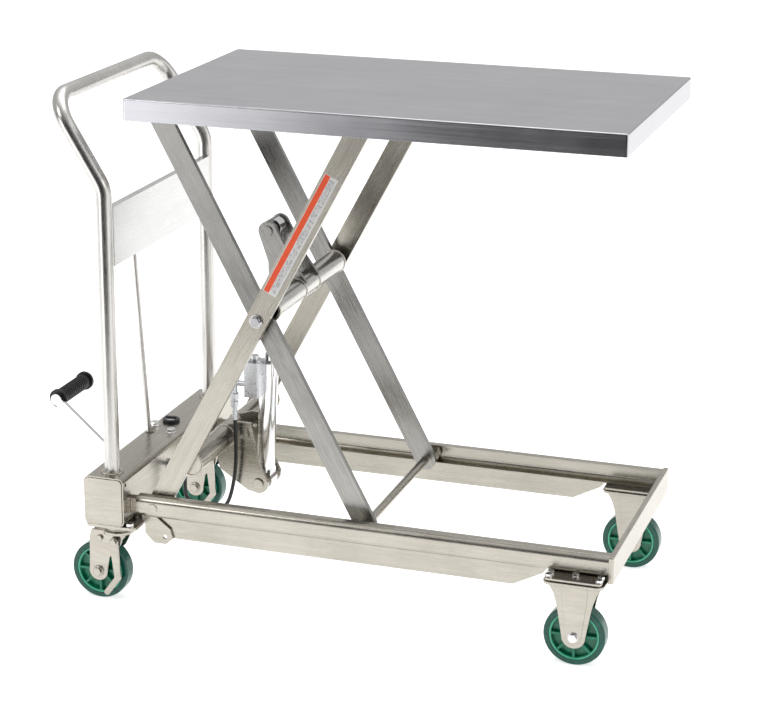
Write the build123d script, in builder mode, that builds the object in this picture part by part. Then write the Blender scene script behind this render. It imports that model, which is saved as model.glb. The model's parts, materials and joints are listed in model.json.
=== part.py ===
from build123d import *
import math
import os

# Scissor lift table, raised. Millimetres. +X is the front (fixed casters), -X is the push-handle end,
# +Z is up. The origin is on the floor, under the middle of the deck.
os.makedirs("parts", exist_ok=True)

# ---------------------------------------------------------------- driving dimensions
DECK_L = 1000.0
DECK_W = 600.0
DECK_TOP = 1072.8
DECK_SHEET = 2.4
SKIRT = 43.5
SHEET = 3.0

ARM_ANGLE = 61.9
ARM_HALF = 472.5
ARM_W = 45.0
ARM_T = 12.0
OUTER_Y = 236.0
INNER_Y = 210.0
PIVOT_X = -474.5
PIVOT_Z = 210.3
TOP_Z = PIVOT_Z + 2.0 * ARM_HALF * math.sin(math.radians(ARM_ANGLE))
MID_X = PIVOT_X + ARM_HALF * math.cos(math.radians(ARM_ANGLE))
MID_Z = PIVOT_Z + ARM_HALF * math.sin(math.radians(ARM_ANGLE))
ROLL_X = PIVOT_X + 2.0 * ARM_HALF * math.cos(math.radians(ARM_ANGLE))
PIN_R = 10.0
ROLLER_R = 18.0

RAIL_Y = 266.0
RAIL_IN = 240.0
RAIL_TOP = 232.0
RAIL_BOT = 189.0
RAIL_X0 = -512.0
RAIL_X1 = 486.0

BOX_X0 = -612.0
BOX_X1 = -524.0
BOX_Z0 = 175.0
BOX_Z1 = 280.0
BOX_Y = 300.0

POST_X = -564.5
POST_Y = 261.0
TUBE_R = 16.0

WHEEL_R = 62.5
WHEEL_W = 33.0
WHEEL_Y = 259.0
FRONT_X = 424.0
SWIVEL_X = -556.0
REAR_X = -594.0

ANCHOR = (-328.0, 203.5)
LEVER_PIN = (-302.0, 761.0)
TORQUE = (-239.4, 641.8)
CROSS = (-404.4, 303.2)
BARREL_R = 20.0
ROD_R = 11.0

PEDAL_X = -590.0
PEDAL_Z = 206.0


# ---------------------------------------------------------------- helpers
def side_plane(x, y, z, deg=0.0):
    a = math.radians(deg)
    return Plane(origin=(x, y, z), x_dir=(math.cos(a), 0, math.sin(a)), z_dir=(0, -1, 0))


def save(item, name):
    item.label = name
    export_step(item, "parts/" + name + ".step")


def box_between(x0, x1, y0, y1, z0, z1, mode=Mode.ADD):
    with Locations(((x0 + x1) / 2, (y0 + y1) / 2, (z0 + z1) / 2)):
        Box(x1 - x0, y1 - y0, z1 - z0, mode=mode)


def cyl_y(x, z, y0, y1, r, mode=Mode.ADD):
    with Locations((x, (y0 + y1) / 2, z)):
        Cylinder(r, abs(y1 - y0), rotation=(90, 0, 0), mode=mode)


def cyl_z(x, y, z0, z1, r, mode=Mode.ADD):
    with Locations((x, y, (z0 + z1) / 2)):
        Cylinder(r, abs(z1 - z0), mode=mode)


def cyl_x(y, z, x0, x1, r, mode=Mode.ADD):
    with Locations(((x0 + x1) / 2, y, z)):
        Cylinder(r, abs(x1 - x0), rotation=(0, 90, 0), mode=mode)


def hex_z(x, y, z0, z1, flat, mode=Mode.ADD):
    with BuildSketch(Plane(origin=(x, y, z0), x_dir=(1, 0, 0), z_dir=(0, 0, 1))) as hexagon:
        RegularPolygon(flat / 2, 6, major_radius=False)
    extrude(hexagon.sketch, amount=z1 - z0, mode=mode)


def hex_y(x, z, y0, y1, flat, mode=Mode.ADD):
    with BuildSketch(Plane(origin=(x, y0, z), x_dir=(1, 0, 0), z_dir=(0, 1, 0))) as hexagon:
        RegularPolygon(flat / 2, 6, major_radius=False)
    extrude(hexagon.sketch, amount=y1 - y0, mode=mode)


def cyl_dir(start, v, d0, d1, r, mode=Mode.ADD):
    u = v.normalized()
    o = Vector(*start) + u * d0
    with BuildSketch(Plane(origin=o, x_dir=(0, 1, 0), z_dir=u)) as section:
        Circle(r)
    extrude(section.sketch, amount=d1 - d0, mode=mode)


# ---------------------------------------------------------------- base frame
RAIL_R = 12.0


def side_rail(s):
    # rolled channel opening towards the middle, closed at its rear end, with a pivot hole near the rear
    rail_h = RAIL_TOP - RAIL_BOT
    reach = 2 * (RAIL_Y - RAIL_IN)
    with BuildPart() as rail:
        with BuildSketch(Plane(origin=(RAIL_X0, s * RAIL_IN, 0), x_dir=(0, s, 0), z_dir=(s, 0, 0))):
            with Locations((0, (RAIL_TOP + RAIL_BOT) / 2)):
                RectangleRounded(reach, rail_h, RAIL_R)
                Rectangle(reach, rail_h + 2, align=(Align.MAX, Align.CENTER), mode=Mode.SUBTRACT)
        extrude(amount=s * (RAIL_X1 - RAIL_X0))
        with BuildSketch(Plane(origin=(RAIL_X0 + SHEET, s * RAIL_IN, 0), x_dir=(0, s, 0), z_dir=(s, 0, 0))):
            with Locations((0, (RAIL_TOP + RAIL_BOT) / 2)):
                RectangleRounded(reach - 2 * SHEET, rail_h - 2 * SHEET, RAIL_R - SHEET)
        extrude(amount=s * (RAIL_X1 - RAIL_X0), mode=Mode.SUBTRACT)
        cyl_y(PIVOT_X, PIVOT_Z, s * 255, s * 270, PIN_R, Mode.SUBTRACT)
    save(rail.part, "side_rail_near" if s < 0 else "side_rail_far")


for s in (-1, 1):
    side_rail(s)

# hanging stiffener plates under both rails, sloped at both ends
with BuildPart() as rail_stiffeners:
    for s in (-1, 1):
        with BuildSketch(side_plane(0, s * 251.5 if s > 0 else -247.5, 0)):
            Polygon((-498, 189), (-498, 171), (-436, 145), (292, 145), (352, 176), (362, 189), align=None)
        extrude(amount=4.0)
save(rail_stiffeners.part, "rail_stiffeners")

# flat front bar with rounded edges, joined to both rail ends
with BuildPart() as front_end_bar:
    box_between(486, 496, -266, 266, 176.5, 232.5)
    fillet(front_end_bar.edges().filter_by(Axis.Y).group_by(Axis.X)[-1], 3.0)
    fillet(front_end_bar.edges().filter_by(Axis.Z).group_by(Axis.X)[-1], 3.0)
save(front_end_bar.part, "front_end_bar")

# rear cross box: a formed tube, open underneath towards the pump, with a pedal slot and service holes
with BuildPart() as rear_cross_box:
    with BuildSketch(Plane(origin=(0, -BOX_Y, 0), x_dir=(1, 0, 0), z_dir=(0, 1, 0))):
        with Locations(((BOX_X0 + BOX_X1) / 2, -(BOX_Z0 + BOX_Z1) / 2)):
            RectangleRounded(BOX_X1 - BOX_X0, BOX_Z1 - BOX_Z0, 11.0)
            RectangleRounded(BOX_X1 - BOX_X0 - 6, BOX_Z1 - BOX_Z0 - 6, 8.0, mode=Mode.SUBTRACT)
    extrude(amount=2 * BOX_Y)
    box_between(BOX_X0 - 2, BOX_X0 + 5, -9, 9, 184, 226, Mode.SUBTRACT)
    cyl_z(-589.9, -14, 270, 290, 9.0, Mode.SUBTRACT)
    cyl_z(-576, 69, 270, 290, 12.0, Mode.SUBTRACT)
    cyl_x(-60, 232, -530, -520, 8.0, Mode.SUBTRACT)
    cyl_x(-288, 264, -530, -520, 4.0, Mode.SUBTRACT)
save(rear_cross_box.part, "rear_cross_box")

with BuildPart() as box_end_caps:
    for y0, y1 in ((-302.0, -300.0), (300.0, 302.0)):
        with BuildSketch(Plane(origin=(0, y0, 0), x_dir=(1, 0, 0), z_dir=(0, 1, 0))):
            with Locations(((BOX_X0 + BOX_X1) / 2, -(BOX_Z0 + BOX_Z1) / 2)):
                RectangleRounded(BOX_X1 - BOX_X0 - 7, BOX_Z1 - BOX_Z0 - 7, 7.5)
        extrude(amount=y1 - y0)
save(box_end_caps.part, "box_end_caps")

# pads between rails and box, and the drilled lugs under the rail ends
with BuildPart() as rail_brackets:
    for s in (-1, 1):
        box_between(-524, -512, min(s * 242, s * 262), max(s * 242, s * 262), 194, 227)
        with BuildSketch(side_plane(0, s * 257.0 if s > 0 else -252.0, 0)):
            Polygon((-496, 189), (-496, 152), (-476, 132), (-450, 132), (-434, 146), (-440, 166), (-470, 189),
                    align=None)
            with Locations((-452, 148)):
                Circle(5.0, mode=Mode.SUBTRACT)
        extrude(amount=5.0)
save(rail_brackets.part, "rail_brackets")

# ---------------------------------------------------------------- push handle
BEND_Z = 880.0
BAR_X = -671.0
BAR_Z = 1056.0
with BuildPart() as push_handle:
    with BuildLine() as route:
        FilletPolyline((POST_X, -POST_Y, BOX_Z1), (POST_X, -POST_Y, BEND_Z), (BAR_X, -POST_Y, BAR_Z),
                       (BAR_X, POST_Y, BAR_Z), (POST_X, POST_Y, BEND_Z), (POST_X, POST_Y, BOX_Z1), radius=62)
    with BuildSketch(Plane(origin=(POST_X, -POST_Y, BOX_Z1), z_dir=(0, 0, 1))):
        Circle(TUBE_R)
        Circle(TUBE_R - 2.0, mode=Mode.SUBTRACT)
    sweep(path=route.line)
    for s in (-1, 1):
        with BuildSketch(Plane(origin=(POST_X, s * POST_Y, BOX_Z1), z_dir=(0, 0, 1))):
            Circle(TUBE_R + 4)
            Circle(TUBE_R - 1.0, mode=Mode.SUBTRACT)
        extrude(amount=5)
save(push_handle.part, "push_handle")

with BuildPart() as handle_panel:
    box_between(-553, -550, -249.8, 249.8, 718, 841)
    box_between(-565, -550, -243, 243, 838, 841)
    box_between(-565, -550, -243, 243, 718, 721)
    cyl_x(34, 742, -602.5, -553, 9.0)
    cyl_x(34, 742, -610.2, -602, 5.0)
    cyl_x(34, 742, -613.2, -609.2, 8.0)
save(handle_panel.part, "handle_panel")

# release lever: pivots on the stub behind the panel, its short end carries the rod pin
ROD_TOP = (-619.0, -14.0, 742.0)
ROD_BOT = (-589.9, -14.0, 250.0)
rod_v = Vector(ROD_TOP[0] - ROD_BOT[0], 0, ROD_TOP[2] - ROD_BOT[2])
with BuildPart() as release_lever:
    with BuildSketch(Plane(origin=(-608.7, 0, 742), x_dir=(0, 1, 0), z_dir=(1, 0, 0))):
        with Locations((34, 0)):
            Circle(15)
        with Locations((10, 0)):
            SlotCenterToCenter(48, 18)
        with Locations((67, 0)):
            SlotCenterToCenter(66, 18)
        with Locations((34, 0)):
            Circle(5.08, mode=Mode.SUBTRACT)
    extrude(amount=5.4)
    cyl_y(-606, 742, 92, 186, 10)
    fillet(release_lever.edges().filter_by(GeomType.CIRCLE).group_by(Axis.Y)[-1], 4)
    cyl_x(-14, 742, -621.0, -608, 4.0)
save(release_lever.part, "release_lever")

with BuildPart() as release_rod:
    cyl_dir(ROD_BOT, rod_v, 0, rod_v.length - 8, 5.0)
    with BuildSketch(Plane(origin=(-622.5, -14, 742), x_dir=(0, 1, 0), z_dir=(1, 0, 0))):
        Circle(11)
        Rectangle(10, 5, mode=Mode.ADD)
    extrude(amount=6)
    with BuildSketch(Plane(origin=(-623.5, -14, 742), x_dir=(0, 1, 0), z_dir=(1, 0, 0))):
        SlotCenterToCenter(3.0, 9.0)
    extrude(amount=8, mode=Mode.SUBTRACT)
save(release_rod.part, "release_rod")

# ---------------------------------------------------------------- foot pump in the box
with BuildPart() as pump_body:
    box_between(-601, -535, -36, 96, 230, 277)
    fillet(pump_body.edges().filter_by(Axis.Z), 6)
    box_between(-603, -577, -22, -12, 194, 231)
    box_between(-603, -577, 12, 22, 194, 231)
    cyl_z(-556, 0, 229, 268, 7.06, Mode.SUBTRACT)
    cyl_y(PEDAL_X, PEDAL_Z, -24, 24, 6.0)
    cyl_y(PEDAL_X, PEDAL_Z, -12.5, -5.3, 9.0)
    cyl_y(PEDAL_X, PEDAL_Z, 5.3, 12.5, 9.0)
    cyl_dir(ROD_BOT, rod_v, -12, 40, 5.06, Mode.SUBTRACT)
save(pump_body.part, "pump_body")

with BuildPart() as pump_reservoir:
    box_between(-602, -534, 100, 236, 205, 272)
    fillet(pump_reservoir.edges().filter_by(Axis.Y), 12)
    cyl_y(-568, 245, 96, 101, 8)
save(pump_reservoir.part, "pump_reservoir")

with BuildPart() as filler_cap:
    cyl_z(-576, 69, 277, 283, 11.0)
    with BuildSketch(Plane(origin=(-576, 69, 280.0), z_dir=(0, 0, 1))):
        Circle(19)
    extrude(amount=7)
    fillet(filler_cap.edges().filter_by(GeomType.CIRCLE).group_by(Axis.Z)[-1], 2.5)
    with Locations((-576, 69, 289)):
        Box(24, 6, 5)
save(filler_cap.part, "filler_cap")

with BuildPart() as pump_plunger:
    cyl_z(-556, 0, 214.4, 250, 7.0)
save(pump_plunger.part, "pump_plunger")

GRIP_X = -818.0
GRIP_Z = 326.0
with BuildPart() as pump_pedal:
    with BuildSketch(side_plane(0, 5, 0)):
        with Locations((PEDAL_X, PEDAL_Z)):
            Circle(13)
        with Locations(((PEDAL_X - 556) / 2, 207)):
            SlotCenterToCenter(PEDAL_X * -1 - 556, 14)
        with Locations(((PEDAL_X - 690) / 2, 210)):
            SlotCenterToCenter(100.4, 20, rotation=-4.6)
        with Locations(((GRIP_X - 690) / 2, (GRIP_Z + 214) / 2)):
            SlotCenterToCenter(170, 20, rotation=-41.2)
        with Locations((GRIP_X, GRIP_Z)):
            Circle(13)
        with Locations((PEDAL_X, PEDAL_Z)):
            Circle(6.08, mode=Mode.SUBTRACT)
    extrude(amount=10)
    cyl_y(GRIP_X, GRIP_Z, 4, 140, 8)
save(pump_pedal.part, "pump_pedal")

with BuildPart() as pedal_grip:
    cyl_y(GRIP_X, GRIP_Z, 6, 144, 16)
    for k in range(12):
        cyl_y(GRIP_X, GRIP_Z, 20 + 9.0 * k, 23 + 9.0 * k, 17.4)
    cyl_y(GRIP_X, GRIP_Z, 6, 11, 21)
    cyl_y(GRIP_X, GRIP_Z, 137, 144, 21)
    cyl_y(GRIP_X, GRIP_Z, 5, 140.2, 8, Mode.SUBTRACT)
save(pedal_grip.part, "pedal_grip")

# ---------------------------------------------------------------- hose from cylinder valve to pump
HOSE_R = 4.1
HOSE = [(-372, -60, 350), (-370, -60, 297), (-372, -60, 240), (-380, -60, 192), (-392, -60, 155),
        (-420, -60, 127), (-460, -60, 127), (-488, -60, 155), (-490.5, -60, 190), (-490, -60, 209)]


def tangent_radii(points):
    # each arc takes 0.45 of the shorter run beside it
    found = []
    for before, here, after in zip(points, points[1:], points[2:]):
        a = Vector(*here) - Vector(*before)
        b = Vector(*after) - Vector(*here)
        half_turn = math.radians(a.get_angle(b)) / 2
        found.append(0.45 * min(a.length, b.length) / math.tan(half_turn))
    return found


hose_radii = tangent_radii(HOSE)
print("hose radii", [round(r, 1) for r in hose_radii])
with BuildPart() as hydraulic_hose:
    with BuildLine() as hose_path:
        FilletPolyline(*HOSE, radius=hose_radii)
    with BuildSketch(Plane(origin=HOSE[0], z_dir=Vector(*HOSE[1]) - Vector(*HOSE[0]))):
        Circle(HOSE_R)
    sweep(path=hose_path.line)
hose_length = sum(e.length for e in hose_path.edges())
fill_ratio = hydraulic_hose.part.volume / (math.pi * HOSE_R ** 2 * hose_length)
print("hose length", round(hose_length, 1), "volume ratio", round(fill_ratio, 4))
save(hydraulic_hose.part, "hydraulic_hose")

with BuildPart() as pump_hose_fitting:
    cyl_z(-490, -60, 209.1, 228, 6.5)
    hex_z(-490, -60, 214, 224, 17)
    box_between(-498, -482, -68, -52, 226, 240)
    fillet(pump_hose_fitting.edges().filter_by(Axis.Y).group_by(Axis.Z)[-1], 5)
    cyl_x(-60, 232, -566, -490, 5.0)
    cyl_x(-60, 232, -523.9, -517, 11.0)
    # the feed line turns up and in to the pump body
    box_between(-573, -560, -66, -54, 225, 262)
    cyl_y(-566, 254, -60, -36.0, 5.0)
save(pump_hose_fitting.part, "pump_hose_fitting")


# ---------------------------------------------------------------- casters
def fork_legs(x_mid, y_mid, z_crown):
    # two stamped legs: flared wings under the plate, a raised middle panel, a round end at the axle
    for s in (-1, 1):
        with BuildSketch(side_plane(0, y_mid + (s * 23.0 if s > 0 else -19.0), 0)) as leg:
            Polygon((x_mid - 57, z_crown), (x_mid - 52, z_crown - 9), (x_mid - 43, z_crown - 24),
                    (x_mid - 36, z_crown - 46), (x_mid - 24, WHEEL_R), (x_mid + 24, WHEEL_R),
                    (x_mid + 36, z_crown - 46), (x_mid + 43, z_crown - 24), (x_mid + 52, z_crown - 9),
                    (x_mid + 57, z_crown), align=None)
            with Locations((x_mid, WHEEL_R)):
                Circle(24)
                Circle(5.0, mode=Mode.SUBTRACT)
        extrude(leg.sketch, amount=4.0)
        with BuildSketch(side_plane(0, y_mid + (s * 25.5 if s > 0 else -23.0), 0)) as raised:
            Polygon((x_mid - 27, z_crown), (x_mid + 27, z_crown), (x_mid + 25, z_crown - 40),
                    (x_mid + 16, WHEEL_R), (x_mid - 16, WHEEL_R), (x_mid - 25, z_crown - 40), align=None)
            with Locations((x_mid, WHEEL_R)):
                Circle(16)
                Circle(5.0, mode=Mode.SUBTRACT)
        extrude(raised.sketch, amount=2.5)


def axle_bolt(x, y_mid):
    cyl_y(x, WHEEL_R, y_mid - 30, y_mid + 30, 5.0)
    for s in (-1, 1):
        cyl_y(x, WHEEL_R, y_mid + s * 25.5, y_mid + s * 27, 10.0)
        hex_y(x, WHEEL_R, y_mid + s * 27, y_mid + s * 32, 16)


PLATE_L = 122.0
PLATE_W = 92.0


def fixed_caster(s):
    # frame pad on top, a gap, and the caster's own rounded plate under it
    y = s * WHEEL_Y
    with BuildPart() as fork:
        with BuildSketch(Plane(origin=(FRONT_X, y, 176), z_dir=(0, 0, 1))):
            RectangleRounded(PLATE_L, PLATE_W, 16)
        extrude(amount=6)
        fillet(fork.edges().filter_by(lambda e: not e.is_interior).group_by(Axis.Z)[0], 2.0)
        with BuildSketch(Plane(origin=(FRONT_X, y, 185), z_dir=(0, 0, 1))):
            RectangleRounded(PLATE_L - 8, PLATE_W - 4, 8)
        extrude(amount=4)
        with BuildSketch(Plane(origin=(FRONT_X, y, 181), z_dir=(0, 0, 1))):
            RectangleRounded(PLATE_L - 18, PLATE_W - 22, 6)
        extrude(amount=5)
        fork_legs(FRONT_X, y, 177)
    save(fork.part, "fixed_caster_near" if s < 0 else "fixed_caster_far")


for s in (-1, 1):
    fixed_caster(s)

with BuildPart() as front_axle_bolts:
    for s in (-1, 1):
        axle_bolt(FRONT_X, s * WHEEL_Y)
save(front_axle_bolts.part, "front_axle_bolts")

with BuildPart() as swivel_plates:
    for s in (-1, 1):
        with BuildSketch(Plane(origin=(SWIVEL_X, s * WHEEL_Y, 169), z_dir=(0, 0, 1))):
            RectangleRounded(112, 84, 12)
            with Locations((40, -30), (40, 30)):
                Circle(5.0, mode=Mode.SUBTRACT)
        extrude(amount=6)
        cyl_z(SWIVEL_X, s * WHEEL_Y, 160, 170, 31)
        fillet(swivel_plates.edges().filter_by(GeomType.CIRCLE).group_by(Axis.Z)[0], 3)
        cyl_z(SWIVEL_X, s * WHEEL_Y, 146, 161, 7)
        cyl_z(SWIVEL_X, s * WHEEL_Y, 142.6, 146.5, 12)
save(swivel_plates.part, "swivel_plates")


BRAKE_X = SWIVEL_X + 2
BRAKE_Z = 134.0
BRAKE_TURN = 20.0
KNEE_X = BRAKE_X + 7
KNEE_Z = 55.0
TOE_X = -572.0
TOE_Z = 21.0
STAY_X = -589.0
STAY_Z = 137.0


def swivel_fork(s):
    y = s * WHEEL_Y
    with BuildPart() as fork:
        with BuildSketch(Plane(origin=(SWIVEL_X, y, 149), z_dir=(0, 0, 1))):
            Circle(33)
            with Locations((-12, 0)):
                RectangleRounded(74, 46, 8)
            Circle(7.06, mode=Mode.SUBTRACT)
        extrude(amount=6)
        cyl_z(SWIVEL_X, y, 154, 159.7, 27)
        cyl_z(SWIVEL_X, y, 153, 161, 7.06, Mode.SUBTRACT)
        for k in (-1, 1):
            with BuildSketch(side_plane(0, y + (k * 23.0 if k > 0 else -19.0), 0)):
                Polygon((-607, 155), (-612, 140), (-614, WHEEL_R), (-574, WHEEL_R), (-568, 96), (-550, 112),
                        (-540, 132), (-536, 155), align=None)
                with Locations((REAR_X, WHEEL_R)):
                    Circle(20.5)
                with Locations((BRAKE_X, BRAKE_Z)):
                    Circle(5.06, mode=Mode.SUBTRACT)
            extrude(amount=4.0)
        axle_bolt(REAR_X, y)
        for k in (-1, 1):
            cyl_y(REAR_X, WHEEL_R, y + k * 22.9, y + k * 26, 12.0)
            hex_y(STAY_X, STAY_Z, y + k * 22.9, y + k * 28, 13)
        cyl_y(STAY_X, STAY_Z, y - 24, y + 24, 4.0)
    save(fork.part, "swivel_fork_near" if s < 0 else "swivel_fork_far")
    # the brake lever hangs outside the leg; its shaft carries a cam nose between the legs, over the tread
    nose = math.atan2(WHEEL_R - BRAKE_Z, REAR_X - BRAKE_X) - math.radians(BRAKE_TURN)
    reach = math.hypot(WHEEL_R - BRAKE_Z, REAR_X - BRAKE_X) - WHEEL_R - 5.0
    with BuildPart() as lever:
        with BuildSketch(side_plane(0, y - 27, 0)):
            with Locations((BRAKE_X, BRAKE_Z)):
                Circle(10)
            Polygon((BRAKE_X - 9, BRAKE_Z - 3), (BRAKE_X + 9, BRAKE_Z), (KNEE_X + 7, KNEE_Z),
                    (KNEE_X - 7, KNEE_Z), align=None)
            with Locations((KNEE_X, KNEE_Z)):
                Circle(7.2)
            with Locations(((KNEE_X + TOE_X) / 2, (KNEE_Z + TOE_Z) / 2)):
                SlotCenterToCenter(math.hypot(KNEE_X - TOE_X, KNEE_Z - TOE_Z), 13,
                                   rotation=math.degrees(math.atan2(KNEE_Z - TOE_Z, KNEE_X - TOE_X)))
        extrude(amount=6.0)
        fillet(lever.edges().group_by(Axis.Y)[0], 1.5)
        cyl_y(BRAKE_X, BRAKE_Z, y - 36, y + 24, 5.0)
        hex_y(BRAKE_X, BRAKE_Z, y - 37, y - 32, 14)
        cyl_y(BRAKE_X, BRAKE_Z, y - 27.5, y - 23.3, 8.0)
        with BuildSketch(side_plane(0, y + 15, 0)):
            with Locations((BRAKE_X, BRAKE_Z)):
                Circle(8)
            with Locations((BRAKE_X + reach / 2 * math.cos(nose), BRAKE_Z + reach / 2 * math.sin(nose))):
                SlotCenterToCenter(reach, 8, rotation=math.degrees(nose))
        extrude(amount=30)
    save(lever.part, "brake_lever_near" if s < 0 else "brake_lever_far")


for s in (-1, 1):
    swivel_fork(s)


def wheel(x, s, tag):
    y = s * WHEEL_Y
    with BuildPart() as core:
        cyl_y(x, WHEEL_R, y - WHEEL_W / 2 + 1.5, y + WHEEL_W / 2 - 1.5, 51.0)
        for k in (-1, 1):
            y0 = y + k * 6.0
            y1 = y + k * (WHEEL_W / 2 + 0.5)
            with BuildSketch(Plane(origin=(x, y0, WHEEL_R), x_dir=(1, 0, 0), z_dir=(0, k, 0))):
                Circle(46.0)
                Circle(14.0, mode=Mode.SUBTRACT)
                with PolarLocations(0, 8):
                    Rectangle(100, 5.0, mode=Mode.SUBTRACT)
            extrude(amount=abs(y1 - y0), mode=Mode.SUBTRACT)
        cyl_y(x, WHEEL_R, y - 18.6, y + 18.6, 13.0)
        cyl_y(x, WHEEL_R, y - 20, y + 20, 5.06, Mode.SUBTRACT)
    save(core.part, "wheel_core_" + tag)
    with BuildPart() as tread:
        with BuildSketch(Plane(origin=(x, y - WHEEL_W / 2, WHEEL_R), x_dir=(1, 0, 0), z_dir=(0, 1, 0))):
            Circle(WHEEL_R)
            Circle(51.0, mode=Mode.SUBTRACT)
        extrude(amount=WHEEL_W)
        rim = tread.edges().filter_by(GeomType.CIRCLE).filter_by(lambda e: e.radius > 60)
        fillet(rim, 4.0)
    save(tread.part, "tread_" + tag)


wheel(FRONT_X, -1, "front_near")
wheel(FRONT_X, 1, "front_far")
wheel(REAR_X, -1, "rear_near")
wheel(REAR_X, 1, "rear_far")

# hexagon screws and nuts that hold caster plates
BOX_BOLTS = ((-599.0, 33.0), (-547.0, 2.0))
with BuildPart() as caster_plate_bolts:
    for s in (-1, 1):
        for dx, dy in ((-50, 15.6), (0, 15.6), (50, 15.6), (-50, 33), (50, 33)):
            cyl_z(FRONT_X + dx, s * (WHEEL_Y + dy), 189, 190.5, 7.0)
            hex_z(FRONT_X + dx, s * (WHEEL_Y + dy), 190.4, 195, 12)
        for dy in (-30, 30):
            cyl_z(SWIVEL_X + 40, s * (WHEEL_Y + dy), 169, 182, 5.0)
            hex_z(SWIVEL_X + 40, s * (WHEEL_Y + dy), 175, 182, 15)
    for x, y in BOX_BOLTS:
        cyl_z(x, y, 280, 282, 11.0)
        hex_z(x, y, 281.5, 289, 17)
save(caster_plate_bolts.part, "frame_bolts")


# ---------------------------------------------------------------- scissor arms
def arm(s, y_face, sign, name):
    # flat bar with round ends; sign +1 rises to the front, -1 rises to the rear
    with BuildPart() as bar:
        with BuildSketch(side_plane(MID_X, s * y_face if s < 0 else y_face, MID_Z, sign * ARM_ANGLE)):
            SlotCenterToCenter(2 * ARM_HALF, ARM_W)
            with Locations((-ARM_HALF, 0), (0, 0), (ARM_HALF, 0)):
                Circle(PIN_R + 0.05, mode=Mode.SUBTRACT)
        extrude(amount=ARM_T if s > 0 else -ARM_T)
    save(bar.part, name)


arm(-1, OUTER_Y, 1, "outer_arm_near")
arm(1, OUTER_Y, 1, "outer_arm_far")
arm(-1, INNER_Y, -1, "inner_arm_near")
arm(1, INNER_Y, -1, "inner_arm_far")

with BuildPart() as lower_pivot_pins:
    for s in (-1, 1):
        cyl_y(PIVOT_X, PIVOT_Z, s * 222, s * 267.5, PIN_R)
        cyl_y(PIVOT_X, PIVOT_Z, s * 236.4, s * 258, 14.0)
        cyl_y(PIVOT_X, PIVOT_Z, s * 219.5, s * 223.6, 13.5)
save(lower_pivot_pins.part, "lower_pivot_pins")

# centre pivots: bolt fixed in the outer arm, inner arm turns on it
with BuildPart() as centre_pivot_bolts:
    for s in (-1, 1):
        cyl_y(MID_X, MID_Z, s * 198.3, s * 241, PIN_R)
        cyl_y(MID_X, MID_Z, s * 236, s * 238.5, 14.0)
        hex_y(MID_X, MID_Z, s * 238, s * 246, 19)
        cyl_y(MID_X, MID_Z, s * 210.5, s * 224, 16.0)
save(centre_pivot_bolts.part, "centre_pivot_bolts")

with BuildPart() as lower_cross_tube:
    with BuildSketch(Plane(origin=(CROSS[0], -224, CROSS[1]), x_dir=(1, 0, 0), z_dir=(0, 1, 0))):
        Circle(24)
        Circle(20.5, mode=Mode.SUBTRACT)
    extrude(amount=448)
    for s in (-1, 1):
        cyl_y(CROSS[0], CROSS[1], s * 219, s * 224, 22.0)
        cyl_y(CROSS[0] - 12, CROSS[1] - 6, s * 218, s * 225, 3.0, Mode.SUBTRACT)
save(lower_cross_tube.part, "lower_cross_tube")

with BuildPart() as anchor_bracket:
    for y0 in (42.0, -34.0):
        with BuildSketch(side_plane(0, y0, 0)):
            Polygon((-430, 303), (-416, 229), (-352, 187), (-328, 182), (-308, 196), (-309, 214), (-330, 258),
                    (-343, 338), (-372, 338), (-404, 327), align=None)
            with Locations(ANCHOR):
                Circle(21.5)
            with Locations(CROSS):
                Circle(24.0, mode=Mode.SUBTRACT)
            with Locations(ANCHOR):
                Circle(9.0, mode=Mode.SUBTRACT)
            with Locations((-364, 306)):
                Circle(5.0, mode=Mode.SUBTRACT)
            Polygon((-352, 330), (-352, 306), (-343, 306), align=None, mode=Mode.SUBTRACT)
        extrude(amount=8.0)
save(anchor_bracket.part, "anchor_bracket")

with BuildPart() as anchor_pin:
    cyl_y(ANCHOR[0], ANCHOR[1], -44, 44, 9.0)
    for s in (-1, 1):
        cyl_y(ANCHOR[0], ANCHOR[1], s * 42, s * 46, 11.5)
        cyl_y(ANCHOR[0], ANCHOR[1], s * 17.5, s * 34, 13.0)
save(anchor_pin.part, "anchor_pin")

with BuildPart() as arm_label:
    with BuildSketch(side_plane(MID_X, -OUTER_Y, MID_Z, ARM_ANGLE)):
        with Locations((206.5, 3.0)):
            RectangleRounded(280, 30, 2.0)
    extrude(amount=0.4)
save(arm_label.part, "arm_label")

# ---------------------------------------------------------------- inner arm set
with BuildPart() as torque_tube:
    with BuildSketch(Plane(origin=(TORQUE[0], -198, TORQUE[1]), x_dir=(1, 0, 0), z_dir=(0, 1, 0))):
        Circle(24)
        Circle(20, mode=Mode.SUBTRACT)
    extrude(amount=396)
save(torque_tube.part, "torque_tube")

with BuildPart() as lever_plates:
    for y0 in (40.0, -32.0):
        with BuildSketch(side_plane(0, y0, 0)):
            with Locations(LEVER_PIN):
                Circle(20)
            Polygon((-321.6, 757), (-300.5, 696), (-299, 655), (-262, 634), (-216, 658), (-248, 700),
                    (-283, 768), align=None)
            with Locations(TORQUE):
                Circle(24.0, mode=Mode.SUBTRACT)
        extrude(amount=8.0)
    # flush pin heads welded to the outer faces
    cyl_y(LEVER_PIN[0], LEVER_PIN[1], -43, -39, 11.0)
    cyl_y(LEVER_PIN[0], LEVER_PIN[1], 39, 43, 11.0)
save(lever_plates.part, "lever_plates")

with BuildPart() as lower_roller_shaft:
    cyl_y(ROLL_X, PIVOT_Z, -260, 260, PIN_R - 1.0)
    cyl_y(ROLL_X, PIVOT_Z, -240.4, -210, 13.0)
    cyl_y(ROLL_X, PIVOT_Z, 210, 240.4, 13.0)
    cyl_y(ROLL_X, PIVOT_Z, -210, -198, PIN_R + 0.05)
    cyl_y(ROLL_X, PIVOT_Z, 198, 210, PIN_R + 0.05)
save(lower_roller_shaft.part, "lower_roller_shaft")

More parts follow.
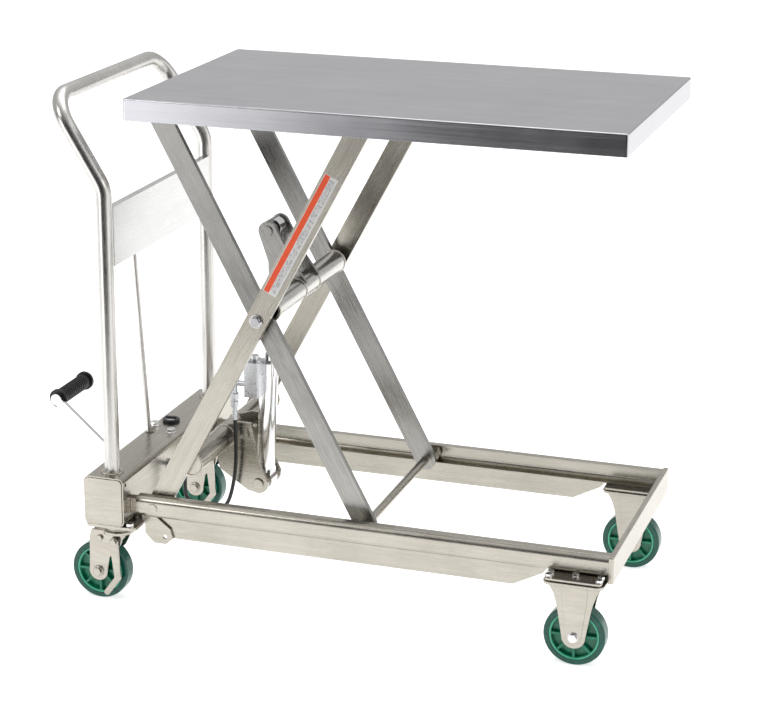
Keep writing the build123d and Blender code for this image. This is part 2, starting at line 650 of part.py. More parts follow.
with BuildPart() as lower_rollers:
    for y0 in (-255.0, 241.0):
        with BuildSketch(Plane(origin=(ROLL_X, y0, PIVOT_Z), x_dir=(1, 0, 0), z_dir=(0, 1, 0))):
            Circle(ROLLER_R)
            Circle(PIN_R - 0.94, mode=Mode.SUBTRACT)
        extrude(amount=14.0)
save(lower_rollers.part, "lower_rollers")

with BuildPart() as upper_roller_shaft:
    cyl_y(ROLL_X, TOP_Z, -260, 260, PIN_R - 1.0)
    for s in (-1, 1):
        cyl_y(ROLL_X, TOP_Z, s * 224, s * 236, PIN_R + 0.05)
        cyl_y(ROLL_X, TOP_Z, s * 236, s * 240.4, 13.0)
        cyl_y(ROLL_X, TOP_Z, s * 218, s * 224, 13.0)
save(upper_roller_shaft.part, "upper_roller_shaft")

with BuildPart() as upper_rollers:
    for y0 in (-255.0, 241.0):
        with BuildSketch(Plane(origin=(ROLL_X, y0, TOP_Z), x_dir=(1, 0, 0), z_dir=(0, 1, 0))):
            Circle(ROLLER_R)
            Circle(PIN_R - 0.94, mode=Mode.SUBTRACT)
        extrude(amount=14.0)
save(upper_rollers.part, "upper_rollers")

# ---------------------------------------------------------------- deck
with BuildPart() as deck_pan:
    box_between(-DECK_L / 2, DECK_L / 2, -DECK_W / 2, DECK_W / 2, DECK_TOP - SKIRT, DECK_TOP)
    fillet(deck_pan.edges().filter_by(Axis.Z), 4)
    fillet(deck_pan.faces().sort_by(Axis.Z)[-1].edges(), 3.5)
    half_l = DECK_L / 2 - DECK_SHEET
    half_w = DECK_W / 2 - DECK_SHEET
    box_between(-half_l, half_l, -half_w, half_w, DECK_TOP - SKIRT - 1, DECK_TOP - DECK_SHEET, Mode.SUBTRACT)
save(deck_pan.part, "deck_pan")

CH_TOP = TOP_Z + ROLLER_R + 0.3
with BuildPart() as deck_channels:
    for s in (-1, 1):
        y_lo = min(s * RAIL_IN, s * RAIL_Y)
        box_between(-440, 486, y_lo, y_lo + 26, CH_TOP - 39.6, DECK_TOP - DECK_SHEET)
        y_cut = min(s * (RAIL_IN - 1), s * (RAIL_Y - SHEET))
        box_between(-441, 487, y_cut, y_cut + 24, CH_TOP - 36.6, CH_TOP, Mode.SUBTRACT)
save(deck_channels.part, "deck_channels")

with BuildPart() as deck_cross_ribs:
    for x in (-300.0, 140.0, 360.0):
        box_between(x - 20, x + 20, -296.9, 296.9, DECK_TOP - 5.4, DECK_TOP - DECK_SHEET)
    for x in (-300.0, 140.0, 360.0):
        box_between(x - 2, x + 2, -196, 196, DECK_TOP - 14.5, DECK_TOP - 5.4)
    for s in (-1, 1):
        box_between(-441, 487, min(s * 239.9, s * 266.1), max(s * 239.9, s * 266.1), DECK_TOP - 8, DECK_TOP - 2,
                    Mode.SUBTRACT)
save(deck_cross_ribs.part, "deck_cross_ribs")

# each rear pivot hangs between two lugs under the deck
LUG_TOP = DECK_TOP - DECK_SHEET
LUG = ((PIVOT_X - 20, LUG_TOP), (PIVOT_X - 20, TOP_Z - 6), (PIVOT_X - 8, TOP_Z - 17), (PIVOT_X + 8, TOP_Z - 17),
       (PIVOT_X + 20, TOP_Z - 6), (PIVOT_X + 34, LUG_TOP))
with BuildPart() as deck_pivot_brackets:
    for s in (-1, 1):
        for y_mid, thick in ((184.0, 8.0), (217.0, 6.0)):
            with BuildSketch(side_plane(0, s * y_mid + thick / 2, 0)):
                Polygon(*LUG, align=None)
            extrude(amount=thick)
        cyl_y(PIVOT_X, TOP_Z, s * 180, s * 222, PIN_R)
        cyl_y(PIVOT_X, TOP_Z, s * 188, s * 197.6, 13.0)
save(deck_pivot_brackets.part, "deck_pivot_brackets")

# ---------------------------------------------------------------- hydraulic cylinder
CYL_LEN = math.hypot(LEVER_PIN[0] - ANCHOR[0], LEVER_PIN[1] - ANCHOR[1])
CYL_DEG = math.degrees(math.atan2(LEVER_PIN[1] - ANCHOR[1], LEVER_PIN[0] - ANCHOR[0]))
CYL_U = Vector(math.cos(math.radians(CYL_DEG)), 0, math.sin(math.radians(CYL_DEG)))


def along(d):
    return (ANCHOR[0] + d * CYL_U.X, 0, ANCHOR[1] + d * CYL_U.Z)


def ring(d0, d1, r, r_in=0.0, mode=Mode.ADD):
    with BuildSketch(Plane(origin=along(d0), x_dir=(0, 1, 0), z_dir=CYL_U)) as section:
        Circle(r)
        if r_in > 0:
            Circle(r_in, mode=Mode.SUBTRACT)
    extrude(section.sketch, amount=d1 - d0, mode=mode)


BARREL_END = 246.0
GLAND_END = 264.0
with BuildPart() as cylinder_barrel:
    ring(30, BARREL_END, BARREL_R, 15.5)
    ring(18, 30, BARREL_R)
    ring(BARREL_END - 10, BARREL_END, 23.0, BARREL_R)
    ring(BARREL_END, GLAND_END, 23.0, ROD_R + 0.06)
    with BuildSketch(side_plane(ANCHOR[0], 17, ANCHOR[1], CYL_DEG)):
        Circle(21)
        with Locations((12, 0)):
            Rectangle(24, 34)
        Circle(9.05, mode=Mode.SUBTRACT)
    extrude(amount=34)
save(cylinder_barrel.part, "cylinder_barrel")

with BuildPart() as valve_block:
    box_between(-348, -316, -66, -14, 404, 480)
    chamfer(valve_block.edges().filter_by(Axis.Z).group_by(Axis.X)[-1], 3)
    ring(170, 300, BARREL_R, mode=Mode.SUBTRACT)
    ring(BARREL_END - 11, 300, BARREL_R + 3.6, mode=Mode.SUBTRACT)
    cyl_z(-332, -44, 479, 483, 14)
    cyl_z(-332, -44, 482, 492, 9)
save(valve_block.part, "valve_block")

with BuildPart() as hose_fittings:
    cyl_x(-60, 432, -366, -348, 6.0)
    with Locations((-371.5, -60, 432)):
        Sphere(8.0)
    cyl_z(-372, -60, 395, 432, 6.5)
    hex_z(-372, -60, 396, 409, 17)
    hex_z(-372, -60, 379, 391, 16)
    cyl_z(-372, -60, 350.3, 397, 5.8)
save(hose_fittings.part, "hose_fittings")

# the ram: its stop collar slides in the barrel, its welded eye turns on the lever pin
RAM_START = 239.4
with BuildPart() as piston_rod:
    ring(RAM_START, CYL_LEN - 18, ROD_R)
    ring(RAM_START, BARREL_END - 0.3, 15.42)
    ring(CYL_LEN - 40, CYL_LEN - 18, 14.0)
    with BuildSketch(side_plane(LEVER_PIN[0], 15, LEVER_PIN[1], CYL_DEG)):
        Circle(20)
        with Locations((-14, 0)):
            Rectangle(24, 26)
    extrude(amount=30)
    cyl_y(LEVER_PIN[0], LEVER_PIN[1], -26, 26, 10.0)
save(piston_rod.part, "piston_rod")
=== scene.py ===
import json
import math

import bmesh
import bpy
from mathutils import Matrix, Vector


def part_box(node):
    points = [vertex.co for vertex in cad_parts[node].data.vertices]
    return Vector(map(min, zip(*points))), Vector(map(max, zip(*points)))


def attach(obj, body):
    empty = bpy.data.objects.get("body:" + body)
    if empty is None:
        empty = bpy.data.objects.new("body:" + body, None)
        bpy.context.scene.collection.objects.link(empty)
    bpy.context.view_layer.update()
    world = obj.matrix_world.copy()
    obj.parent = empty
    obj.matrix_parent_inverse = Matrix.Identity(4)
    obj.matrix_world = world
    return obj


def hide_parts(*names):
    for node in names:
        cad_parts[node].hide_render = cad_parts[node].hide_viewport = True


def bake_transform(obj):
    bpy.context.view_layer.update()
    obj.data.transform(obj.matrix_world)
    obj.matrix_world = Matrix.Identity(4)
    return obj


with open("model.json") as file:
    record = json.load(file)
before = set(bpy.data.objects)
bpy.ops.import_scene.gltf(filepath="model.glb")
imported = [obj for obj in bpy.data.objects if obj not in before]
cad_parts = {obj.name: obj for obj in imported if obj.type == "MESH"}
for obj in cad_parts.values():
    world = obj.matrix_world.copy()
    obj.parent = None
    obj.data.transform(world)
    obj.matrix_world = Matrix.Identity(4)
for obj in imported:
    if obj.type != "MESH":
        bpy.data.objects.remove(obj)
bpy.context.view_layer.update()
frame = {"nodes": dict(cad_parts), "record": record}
nodes = frame["nodes"]
MM = 0.001

# ---------------------------------------------------------------- shared measures
ARM_ANGLE = math.radians(61.9)
ARM_DIR = Vector((math.cos(ARM_ANGLE), 0, math.sin(ARM_ANGLE)))
ARM_SIDE = Vector((-math.sin(ARM_ANGLE), 0, math.cos(ARM_ANGLE)))


# ---------------------------------------------------------------- camera
def make_camera():
    data = bpy.data.cameras.new("camera")
    camera = bpy.data.objects.new("camera", data)
    bpy.context.scene.collection.objects.link(camera)
    azimuth, elevation, roll = math.radians(18.39), math.radians(17.19), math.radians(0.25)
    distance = 4.670
    target = Vector((-0.0785, 0.0, 0.5335))
    back = Vector((math.sin(azimuth) * math.cos(elevation), -math.cos(azimuth) * math.cos(elevation),
                   math.sin(elevation)))
    right = Vector((0, 0, 1)).cross(back).normalized()
    up = back.cross(right)
    right_r = right * math.cos(roll) + up * math.sin(roll)
    up_r = up * math.cos(roll) - right * math.sin(roll)
    place = target + back * distance
    camera.matrix_world = Matrix((
        (right_r.x, up_r.x, back.x, place.x),
        (right_r.y, up_r.y, back.y, place.y),
        (right_r.z, up_r.z, back.z, place.z),
        (0, 0, 0, 1)))
    data.sensor_width = 36.0
    data.lens = 105.5
    data.shift_x = 0.0104
    data.shift_y = -0.0189
    data.clip_end = 60
    bpy.context.scene.camera = camera


make_camera()


# ---------------------------------------------------------------- materials
def new_material(name):
    material = bpy.data.materials.new(name)
    material.use_nodes = True
    tree = material.node_tree
    shader = tree.nodes["Principled BSDF"]
    return material, tree, shader


def coordinates(tree, scale, turn=(0, 0, 0)):
    source = tree.nodes.new("ShaderNodeTexCoord")
    mapping = tree.nodes.new("ShaderNodeMapping")
    mapping.inputs["Scale"].default_value = scale
    mapping.inputs["Rotation"].default_value = turn
    tree.links.new(source.outputs["Object"], mapping.inputs["Vector"])
    return mapping.outputs["Vector"]


def noise(tree, vector, scale, detail=4.0, roughness=0.6):
    node = tree.nodes.new("ShaderNodeTexNoise")
    node.inputs["Scale"].default_value = scale
    node.inputs["Detail"].default_value = detail
    node.inputs["Roughness"].default_value = roughness
    tree.links.new(vector, node.inputs["Vector"])
    return node.outputs["Fac"]


def ramp(tree, value, stops):
    node = tree.nodes.new("ShaderNodeValToRGB")
    while len(node.color_ramp.elements) < len(stops):
        node.color_ramp.elements.new(0.5)
    for element, (place, colour) in zip(node.color_ramp.elements, stops):
        element.position = place
        element.color = (*colour, 1)
    tree.links.new(value, node.inputs["Fac"])
    return node.outputs["Color"]


def spread(tree, value, low, high):
    node = tree.nodes.new("ShaderNodeMapRange")
    node.inputs["From Min"].default_value = 0.3
    node.inputs["From Max"].default_value = 0.7
    node.inputs["To Min"].default_value = low
    node.inputs["To Max"].default_value = high
    tree.links.new(value, node.inputs["Value"])
    return node.outputs["Result"]


def bump(tree, shader, value, strength, distance, edge=0.0012):
    node = tree.nodes.new("ShaderNodeBump")
    node.inputs["Strength"].default_value = strength
    node.inputs["Distance"].default_value = distance
    tree.links.new(value, node.inputs["Height"])
    if edge > 0:
        rounded = tree.nodes.new("ShaderNodeBevel")
        rounded.samples = 4
        rounded.inputs["Radius"].default_value = edge
        tree.links.new(rounded.outputs["Normal"], node.inputs["Normal"])
    tree.links.new(node.outputs["Normal"], shader.inputs["Normal"])


def grained(tree, scale, turn):
    """Object coordinates turned so that their x runs along the grain, then scaled."""
    source = tree.nodes.new("ShaderNodeTexCoord")
    turned_by = tree.nodes.new("ShaderNodeMapping")
    turned_by.inputs["Rotation"].default_value = turn
    tree.links.new(source.outputs["Object"], turned_by.inputs["Vector"])
    scaled = tree.nodes.new("ShaderNodeMapping")
    scaled.inputs["Scale"].default_value = scale
    tree.links.new(turned_by.outputs["Vector"], scaled.inputs["Vector"])
    return scaled.outputs["Vector"]


def blend_values(tree, first, second, share):
    """first * (1 - share) + second * share."""
    scaled = tree.nodes.new("ShaderNodeMath")
    scaled.operation = "MULTIPLY"
    scaled.inputs[1].default_value = 1 - share
    tree.links.new(first, scaled.inputs[0])
    mixed = tree.nodes.new("ShaderNodeMath")
    mixed.operation = "MULTIPLY_ADD"
    mixed.inputs[1].default_value = share
    tree.links.new(second, mixed.inputs[0])
    tree.links.new(scaled.outputs["Value"], mixed.inputs[2])
    return mixed.outputs["Value"]


def brushed_metal(name, dark, light, grain, turn=(0, 0, 0), rough=(0.2, 0.34), edge=0.0012,
                  strength=0.12):
    """Brushed or satin steel: fine scratches along the grain, broader bands, and soft clouding."""
    material, tree, shader = new_material(name)
    shader.inputs["Metallic"].default_value = 1.0
    fine = noise(tree, grained(tree, grain, turn), 1.0, 3.0)
    broad = noise(tree, grained(tree, [g / 6 for g in grain], turn), 1.0, 2.0)
    cloudy = noise(tree, coordinates(tree, (1, 1, 1)), 7.0, 3.0)
    lines = blend_values(tree, fine, broad, 0.35)
    mixed = blend_values(tree, lines, cloudy, 0.35)
    tree.links.new(ramp(tree, mixed, [(0.36, dark), (0.64, light)]), shader.inputs["Base Color"])
    tree.links.new(spread(tree, mixed, *rough), shader.inputs["Roughness"])
    bump(tree, shader, lines, strength, 0.0002, edge)
    return material


def plastic(name, dark, light, rough, scale=60.0, strength=0.1, edge=0.0008):
    material, tree, shader = new_material(name)
    pattern = noise(tree, coordinates(tree, (1, 1, 1)), scale, 5.0)
    tree.links.new(ramp(tree, pattern, [(0.3, dark), (0.7, light)]), shader.inputs["Base Color"])
    tree.links.new(spread(tree, pattern, *rough), shader.inputs["Roughness"])
    bump(tree, shader, pattern, strength, 0.0004, edge)
    return material


WARM_DARK, WARM_LIGHT = (0.40, 0.375, 0.325), (0.56, 0.53, 0.47)
along_x = (20, 700, 700)
along_y = (700, 20, 700)
along_z = (700, 700, 20)
stainless = brushed_metal("stainless", WARM_DARK, WARM_LIGHT, along_x)
stainless_y = brushed_metal("stainless_across", WARM_DARK, WARM_LIGHT, along_y)
tube_y = brushed_metal("tube_across", (0.52, 0.505, 0.475), (0.70, 0.685, 0.655), along_y,
                       rough=(0.2, 0.32))
tube_z = brushed_metal("tube_upright", (0.50, 0.485, 0.46), (0.70, 0.685, 0.66), along_z,
                       rough=(0.22, 0.34))
panel_steel = brushed_metal("panel", (0.58, 0.58, 0.57), (0.74, 0.74, 0.73), along_y)
arm_rise = brushed_metal("arm_rising", WARM_DARK, WARM_LIGHT, along_x, (0, ARM_ANGLE, 0))
# The falling inner arms and lever plates are the same steel as the rising arms, given a darker base
# colour: painted shade.
arm_fall_painted_shade = brushed_metal("arm_falling_painted_shade", (0.25, 0.245, 0.235), (0.42, 0.41, 0.39), along_x,
                         (0, -ARM_ANGLE, 0))
deck = brushed_metal("deck", (0.44, 0.44, 0.468), (0.57, 0.57, 0.60), (2.5, 420, 420),
                     rough=(0.16, 0.26), strength=0.14)
caster_steel = brushed_metal("caster_steel", (0.42, 0.39, 0.34), (0.54, 0.51, 0.455), (30, 30, 260),
                             rough=(0.16, 0.28), edge=0.002, strength=0.05)
bright = brushed_metal("bright_steel", (0.70, 0.70, 0.71), (0.85, 0.85, 0.86), (120, 120, 300),
                       rough=(0.06, 0.14), strength=0.04)
zinc = brushed_metal("zinc_steel", (0.50, 0.51, 0.53), (0.68, 0.69, 0.71), (200, 200, 200),
                     rough=(0.2, 0.36))
weld = brushed_metal("weld_bead", (0.40, 0.36, 0.31), (0.74, 0.70, 0.63), (420, 420, 420),
                     rough=(0.16, 0.34), edge=0, strength=0.5)
green = plastic("green_core", (0.002, 0.15, 0.078), (0.008, 0.25, 0.135), (0.16, 0.3))
green_rim = plastic("green_rim", (0.05, 0.42, 0.25), (0.10, 0.52, 0.33), (0.22, 0.34))
tread = plastic("green_tread", (0.001, 0.06, 0.042), (0.004, 0.10, 0.07), (0.16, 0.3), 90.0, 0.2)
rubber = plastic("black_grip", (0.006, 0.006, 0.007), (0.014, 0.014, 0.015), (0.3, 0.5), 200.0, 0.3)
hose_black = plastic("black_hose", (0.004, 0.004, 0.005), (0.01, 0.01, 0.011), (0.25, 0.4), 300.0, 0.2)
orange = plastic("label_orange", (0.80, 0.075, 0.014), (0.88, 0.095, 0.02), (0.35, 0.45), 120.0, 0.05, 0)
white = plastic("label_white", (0.66, 0.66, 0.65), (0.74, 0.74, 0.73), (0.35, 0.45), 120.0, 0.05, 0)

FINISH = {
    "deck_pan": deck, "outer_arm_near": arm_rise, "outer_arm_far": arm_rise,
    "inner_arm_near": arm_fall_painted_shade, "inner_arm_far": arm_fall_painted_shade,
    "push_handle": tube_z, "handle_panel": panel_steel, "rear_cross_box": stainless_y,
    "torque_tube": tube_y, "lower_cross_tube": stainless_y, "front_end_bar": stainless_y,
    "release_lever": bright, "release_rod": tube_z, "centre_pivot_bolts": bright,
    "anchor_pin": caster_steel,
    "frame_bolts": bright, "front_axle_bolts": bright, "lever_plates": arm_fall_painted_shade,
}
BY_SLOT = {
    "stainless": stainless, "stainless_deck": deck, "caster_steel": caster_steel, "green_core": green,
    "green_tread": tread, "black_grip": rubber, "black_hose": hose_black, "zinc_steel": zinc,
    "bright_steel": bright, "label": orange,
}


def dress_nodes():
    slot_of = {entry["node"]: entry["material_slot"] for entry in frame["record"]["subparts"]}
    for name, thing in nodes.items():
        material = FINISH.get(name, BY_SLOT[slot_of[name]])
        if not thing.material_slots:
            thing.data.materials.append(material)
        for place in thing.material_slots:
            place.material = material


dress_nodes()


# ---------------------------------------------------------------- mesh helpers
ON_AXIS = 1e-7
NEAR_FAR = ((-1, "near"), (1, "far"))


def finish_mesh(name, bm, material, body, smooth_angle=35):
    """Turns bm into a smooth-shaded piece; body is None for a piece that is attached to no body."""
    data = bpy.data.meshes.new(name)
    bmesh.ops.recalc_face_normals(bm, faces=bm.faces)
    bm.to_mesh(data)
    bm.free()
    piece = bpy.data.objects.new(name, data)
    bpy.context.scene.collection.objects.link(piece)
    data.materials.append(material)
    for face in data.polygons:
        face.use_smooth = True
    data.set_sharp_from_angle(angle=math.radians(smooth_angle))
    if body is not None:
        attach(piece, body)
    return piece


def turned(bm, profile, origin, axis, steps=48):
    """A closed ring or a solid turned about axis through origin; profile holds (radius, height) pairs."""
    axis = Vector(axis).normalized()
    side = axis.orthogonal().normalized()
    other = axis.cross(side)
    rings = []
    for radius, height in profile:
        if radius < ON_AXIS:
            rings.append([bm.verts.new(Vector(origin) + axis * height)])
            continue
        ring = []
        for k in range(steps):
            a = 2 * math.pi * k / steps
            out = side * math.cos(a) + other * math.sin(a)
            ring.append(bm.verts.new(Vector(origin) + axis * height + out * radius))
        rings.append(ring)
    is_ring = profile[0][0] > ON_AXIS and profile[-1][0] > ON_AXIS
    for low, high in zip(rings, rings[1:] + ([rings[0]] if is_ring else [])):
        for k in range(steps):
            n = (k + 1) % steps
            if len(low) == 1:
                bm.faces.new((low[0], high[k], high[n]))
            elif len(high) == 1:
                bm.faces.new((low[k], low[n], high[0]))
            else:
                bm.faces.new((low[k], low[n], high[n], high[k]))


def hoop(bm, centre, side, other, radius, around):
    """A circle of vertices about centre, in the plane of side and other."""
    return [bm.verts.new(centre + (side * math.cos(b) + other * math.sin(b)) * radius)
            for b in (2 * math.pi * j / around for j in range(around))]


def skin(bm, loops, closed):
    """Faces from each loop to the next: back to the first one if closed, else with an end cap each."""
    around = len(loops[0])
    following = loops[1:] + loops[:1] if closed else loops[1:]
    for one, two in zip(loops, following):
        for j in range(around):
            n = (j + 1) % around
            bm.faces.new((one[j], two[j], two[n], one[n]))
    if not closed:
        bm.faces.new(loops[0])
        bm.faces.new(loops[-1])


# ---------------------------------------------------------------- hose
HOSE = [(-372, -60, 350), (-370, -60, 297), (-372, -60, 240), (-380, -60, 192), (-392, -60, 155),
        (-420, -60, 127), (-460, -60, 127), (-488, -60, 155), (-490.5, -60, 190), (-490, -60, 209)]
HOSE_DIAMETER = 0.0082


def hose_line():
    """The points along the route's own smooth line."""
    data = bpy.data.curves.new("hose_route", "CURVE")
    data.dimensions = "3D"
    data.resolution_u = 8
    spline = data.splines.new("NURBS")
    spline.points.add(len(HOSE) - 1)
    for point, (x, y, z) in zip(spline.points, HOSE):
        point.co = (x * MM, y * MM, z * MM, 1)
    spline.order_u = 3
    spline.use_endpoint_u = True
    route = bpy.data.objects.new("hose_route", data)
    bpy.context.scene.collection.objects.link(route)
    bpy.context.view_layer.update()
    line = bpy.data.meshes.new_from_object(route)
    points = [vertex.co.copy() for vertex in line.vertices]
    bpy.data.objects.remove(route)
    bpy.data.curves.remove(data)
    bpy.data.meshes.remove(line)
    return points


def make_hose():
    points = hose_line()
    radius, around = HOSE_DIAMETER / 2, 20
    bm = bmesh.new()
    across = Vector((0, 1, 0))
    loops = []
    for k, point in enumerate(points):
        ahead = points[min(k + 1, len(points) - 1)] - points[max(k - 1, 0)]
        side = across.cross(ahead).normalized()
        loops.append(hoop(bm, point, across, side, radius, around))
    skin(bm, loops, closed=False)
    hose = finish_mesh("hose", bm, hose_black, None, 50)
    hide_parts("hydraulic_hose")
    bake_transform(hose)


make_hose()


# ---------------------------------------------------------------- wheels: pale rim lips
RIM_LIP = [(0.0470, -0.0030), (0.0472, -0.0006), (0.0480, 0.0000), (0.0492, 0.0001), (0.0502, -0.0004),
           (0.0506, -0.0018), (0.0504, -0.0040), (0.0480, -0.0042)]


def make_wheel_details():
    for corner in ("front_near", "front_far", "rear_near", "rear_far"):
        low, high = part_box("wheel_core_" + corner)
        hub_x, hub_z = (low[0] + high[0]) / 2, (low[2] + high[2]) / 2
        tread_low, tread_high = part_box("tread_" + corner)
        for (side, tag), face in zip(NEAR_FAR, (tread_low[1], tread_high[1])):
            bm = bmesh.new()
            turned(bm, RIM_LIP, Vector((hub_x, face, hub_z)), (0, side, 0), 72)
            piece = finish_mesh("rim_lip_%s_%s" % (corner, tag), bm, green_rim, "wheel_" + corner)


make_wheel_details()


# ---------------------------------------------------------------- weld beads
BEAD_AROUND = 8
BEAD_ANGLE = 60


def rippled_ring(name, centre, axis, radius, thick, body, ripples):
    """A torus whose tube swells and shrinks, as a stack of weld ripples does."""
    axis = Vector(axis).normalized()
    side = axis.orthogonal().normalized()
    other = axis.cross(side)
    bm = bmesh.new()
    steps = ripples * 4
    loops = []
    for k in range(steps):
        a = 2 * math.pi * k / steps
        out = side * math.cos(a) + other * math.sin(a)
        swell = thick * (1 + 0.13 * math.cos(ripples * a))
        loop = []
        for j in range(BEAD_AROUND):
            b = 2 * math.pi * j / BEAD_AROUND
            spot = Vector(centre) + out * (radius + swell * math.cos(b)) + axis * swell * math.sin(b)
            loop.append(bm.verts.new(spot))
        loops.append(loop)
    skin(bm, loops, closed=True)
    piece = finish_mesh(name, bm, weld, body, BEAD_ANGLE)


def rippled_line(name, start, end, thick, body, pitch=0.0022):
    """A straight bead with closed ends, three steps to a ripple."""
    start, end = Vector(start), Vector(end)
    axis = (end - start).normalized()
    side = axis.orthogonal().normalized()
    other = axis.cross(side)
    length = (end - start).length
    steps = int(length / pitch) * 3
    bm = bmesh.new()
    loops = []
    for k in range(steps + 1):
        place = start + axis * (length * k / steps)
        ease = min(1.0, (k + 0.6) / 4, (steps - k + 0.6) / 4)
        swell = thick * ease * (1 + 0.12 * math.cos(2 * math.pi * k / 3))
        loops.append(hoop(bm, place, side, other, swell, BEAD_AROUND))
    skin(bm, loops, closed=False)
    piece = finish_mesh(name, bm, weld, body, BEAD_ANGLE)


END_BEAD, PLATE_BEAD = 0.0022, 0.0020
TUBE_END_INSET = 0.0015
POST_X, POST_Y, POST_BEAD_RADIUS = -0.5645, 0.261, 0.0212
PANEL_BEAD_X, PANEL_BEAD_Y, PANEL_BEAD_LOW, PANEL_BEAD_HIGH = -0.5520, 0.2455, 0.722, 0.838
BAR_BEAD_Y, BAR_BEAD_LOW, BAR_BEAD_HIGH = 0.2640, 0.203, 0.221
RAIL_BEAD, RAIL_BEAD_LOW, RAIL_BEAD_HIGH, RAIL_BEAD_SHARE = 0.0026, 0.198, 0.224, 0.993


def tube_welds(node, end_tag, plate_tag, plate_y, body):
    """A bead at each end of a cross tube, and one round it at each of the two plates on it."""
    low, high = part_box(node)
    middle_x, middle_z = (low[0] + high[0]) / 2, (low[2] + high[2]) / 2
    radius = (high[0] - low[0]) / 2
    ends = (low[1] + TUBE_END_INSET, high[1] - TUBE_END_INSET)
    for tag, thick, places in ((end_tag, END_BEAD, ends), (plate_tag, PLATE_BEAD, (-plate_y, plate_y))):
        for y, side in zip(places, ("near", "far")):
            rippled_ring("%s_weld_%s" % (tag, side), (middle_x, y, middle_z), (0, 1, 0), radius, thick,
                         body, 60)


def make_welds():
    tube_welds("torque_tube", "torque", "lever", 0.040, "inner_arms")
    tube_welds("lower_cross_tube", "cross", "bracket", 0.042, "outer_arms")
    box_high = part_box("rear_cross_box")[1]
    for side, tag in NEAR_FAR:
        rippled_ring("post_weld_" + tag, (POST_X, side * POST_Y, box_high[2] + 0.0006), (0, 0, 1),
                     POST_BEAD_RADIUS, END_BEAD, "base", 56)
    for side, tag in NEAR_FAR:
        y = side * PANEL_BEAD_Y
        rippled_line("panel_weld_" + tag, (PANEL_BEAD_X, y, PANEL_BEAD_LOW),
                     (PANEL_BEAD_X, y, PANEL_BEAD_HIGH), PLATE_BEAD, "base")
    bar_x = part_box("front_end_bar")[0][0] - 0.0005
    box_x = box_high[0] + 0.0010
    for side, tag in NEAR_FAR:
        y = side * BAR_BEAD_Y
        rippled_line("bar_weld_" + tag, (bar_x, y, BAR_BEAD_LOW), (bar_x, y, BAR_BEAD_HIGH),
                     PLATE_BEAD, "base")
        y *= RAIL_BEAD_SHARE
        rippled_line("rail_box_weld_" + tag, (box_x, y, RAIL_BEAD_LOW), (box_x, y, RAIL_BEAD_HIGH),
                     RAIL_BEAD, "base")


make_welds()


# ---------------------------------------------------------------- label: plain colour bands, no lettering
def banded_film():
    """White film with faint grey rows where a printed label would carry its small print."""
    material, tree, shader = new_material("label_rows")
    rows = noise(tree, grained(tree, (170, 1, 330), (0, ARM_ANGLE, 0)), 1.0, 1.0)
    tones = ramp(tree, rows, [(0.40, (0.42, 0.42, 0.42)), (0.55, (0.66, 0.66, 0.65))])
    tree.links.new(tones, shader.inputs["Base Color"])
    tree.links.new(spread(tree, rows, 0.36, 0.46), shader.inputs["Roughness"])
    return material


def make_label():
    low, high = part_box("arm_label")
    middle = Vector(((low[0] + high[0]) / 2, 0, (low[2] + high[2]) / 2))
    half_length, half_width, border = 0.140, 0.0150, 0.0012
    warm_edge, rows_edge, low_margin, rows_inset = 0.0020, 0.0008, 0.0035, 0.006
    rows = banded_film()
    bands = (("edge_high", half_width - border, half_width, 0.0, white),
             ("warm", warm_edge, half_width - border, border, orange),
             ("gap", rows_edge, warm_edge, 0.0, white),
             ("rows", -half_width + low_margin, rows_edge, rows_inset, rows),
             ("edge_low", -half_width, -half_width + low_margin, 0.0, white))
    for tag, near, far, inset, material in bands:
        spans = [(-half_length + inset, half_length - inset, material)]
        if inset > 0:
            spans.append((-half_length, -half_length + inset, white))
            spans.append((half_length - inset, half_length, white))
        for number, (start, end, film) in enumerate(spans):
            bm = bmesh.new()
            corners = []
            for along, across in ((start, near), (end, near), (end, far), (start, far)):
                spot = middle + ARM_DIR * along + ARM_SIDE * across
                corners.append((spot.x, spot.z))
            outer = [bm.verts.new((x, low[1], z)) for x, z in corners]
            inner = [bm.verts.new((x, high[1], z)) for x, z in corners]
            bm.faces.new(outer)
            bm.faces.new(list(reversed(inner)))
            for k in range(4):
                n = (k + 1) % 4
                bm.faces.new((outer[k], inner[k], inner[n], outer[n]))
            piece = finish_mesh("label_%s_%d" % (tag, number), bm, film, "outer_arms")
            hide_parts("arm_label")


make_label()


# ---------------------------------------------------------------- filler cap: black rim round a pale top that is a painted highlight
CAP_TOP = 0.2872


def make_cap_painted_highlight():
    low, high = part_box("filler_cap")
    cx, cy = (low[0] + high[0]) / 2, (low[1] + high[1]) / 2
    bm = bmesh.new()
    # The pale zinc disc on the black cap's top is a painted highlight.
    turned(bm, [(0.0, 0.0004), (0.0118, 0.0004), (0.0126, 0.0), (0.0126, -0.0015), (0.0, -0.0015)],
           (cx, cy, CAP_TOP), (0, 0, 1), 48)
    piece = finish_mesh("filler_cap_painted_highlight", bm, zinc, "base")


make_cap_painted_highlight()


# ---------------------------------------------------------------- stage and light
def make_stage():
    half_wide, front, back = 7, -1.6, 14
    bm = bmesh.new()
    for x, y in ((-half_wide, front), (half_wide, front), (half_wide, back), (-half_wide, back)):
        bm.verts.new((x, y, 0))
    bm.faces.new(bm.verts[:])
    data = bpy.data.meshes.new("floor")
    bm.to_mesh(data)
    bm.free()
    floor = bpy.data.objects.new("floor", data)
    bpy.context.scene.collection.objects.link(floor)
    material, tree, shader = new_material("floor")
    shader.inputs["Base Color"].default_value = (0.92, 0.92, 0.92, 1)
    shader.inputs["Roughness"].default_value = 0.9
    shader.inputs["Specular IOR Level"].default_value = 0.1
    shader.inputs["Emission Color"].default_value = (1, 1, 1, 1)
    shader.inputs["Emission Strength"].default_value = 0.62
    data.materials.append(material)


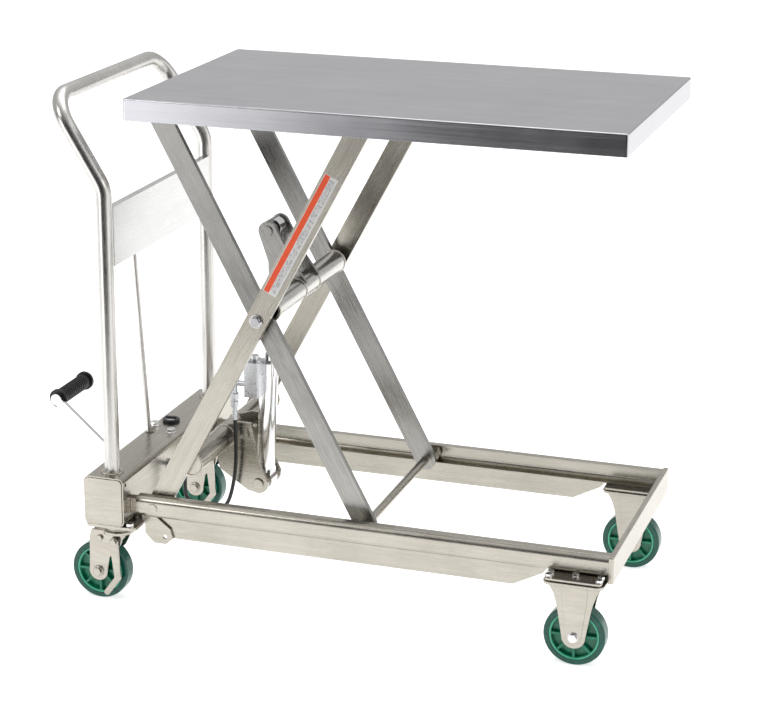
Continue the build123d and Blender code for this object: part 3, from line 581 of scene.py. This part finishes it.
def area_light(name, place, aim, size, power):
    data = bpy.data.lights.new(name, "AREA")
    data.energy = power
    data.size = size
    light = bpy.data.objects.new(name, data)
    bpy.context.scene.collection.objects.link(light)
    light.location = place
    direction = Vector(aim) - Vector(place)
    light.rotation_euler = direction.to_track_quat("-Z", "Y").to_euler()


# Direction, the two cosines where the light starts and is full, and its strength away and toward.
BACK_LIGHT = ((0, 1, 0.35), -0.93, 0.05, 0.02, 0.62)
LEFT_WALL = ((-0.62, -0.76, -0.17), 0.93, 0.985, 0.0, 2.6)
RIGHT_WALL = ((1, 0.15, 0.2), 0.80, 0.96, 0.0, 0.9)
CEILING = ((0, 0.2, 1), 0.72, 0.93, 0.0, 0.45)


def make_world():
    """A pale studio that metal reflects, dark by the camera; the camera itself sees plain white."""
    world = bpy.data.worlds.new("studio")
    bpy.context.scene.world = world
    world.use_nodes = True
    tree = world.node_tree
    shade = tree.nodes["Background"]
    source = tree.nodes.new("ShaderNodeTexCoord")

    def toward(direction, low, high, floor_value, top_value):
        dot = tree.nodes.new("ShaderNodeVectorMath")
        dot.operation = "DOT_PRODUCT"
        dot.inputs[1].default_value = Vector(direction).normalized()
        tree.links.new(source.outputs["Generated"], dot.inputs[0])
        node = tree.nodes.new("ShaderNodeMapRange")
        node.interpolation_type = "SMOOTHSTEP"
        node.inputs["From Min"].default_value = low
        node.inputs["From Max"].default_value = high
        node.inputs["To Min"].default_value = floor_value
        node.inputs["To Max"].default_value = top_value
        tree.links.new(dot.outputs["Value"], node.inputs["Value"])
        return node.outputs["Result"]

    def add(first, second):
        node = tree.nodes.new("ShaderNodeMath")
        node.operation = "ADD"
        tree.links.new(first, node.inputs[0])
        tree.links.new(second, node.inputs[1])
        return node.outputs["Value"]

    level = toward(*BACK_LIGHT)
    for lobe in (LEFT_WALL, RIGHT_WALL, CEILING):
        level = add(level, toward(*lobe))
    plain = tree.nodes.new("ShaderNodeBackground")
    plain.inputs["Color"].default_value = (1, 1, 1, 1)
    plain.inputs["Strength"].default_value = 1.0
    seen = tree.nodes.new("ShaderNodeLightPath")
    chosen = tree.nodes.new("ShaderNodeMixShader")
    tree.links.new(level, shade.inputs["Strength"])
    shade.inputs["Color"].default_value = (1, 1, 1, 1)
    tree.links.new(seen.outputs["Is Camera Ray"], chosen.inputs["Fac"])
    tree.links.new(shade.outputs["Background"], chosen.inputs[1])
    tree.links.new(plain.outputs["Background"], chosen.inputs[2])
    tree.links.new(chosen.outputs["Shader"], tree.nodes["World Output"].inputs["Surface"])


make_stage()
make_world()
area_light("key", (-2.6, -3.0, 3.2), (0, 0, 0.6), 1.6, 38)
area_light("fill", (3.2, -2.0, 2.4), (0, 0, 0.6), 1.2, 10)
area_light("top", (0.2, 1.0, 4.2), (0, 0, 0.3), 3.0, 50)
bpy.context.scene.view_settings.view_transform = "Standard"
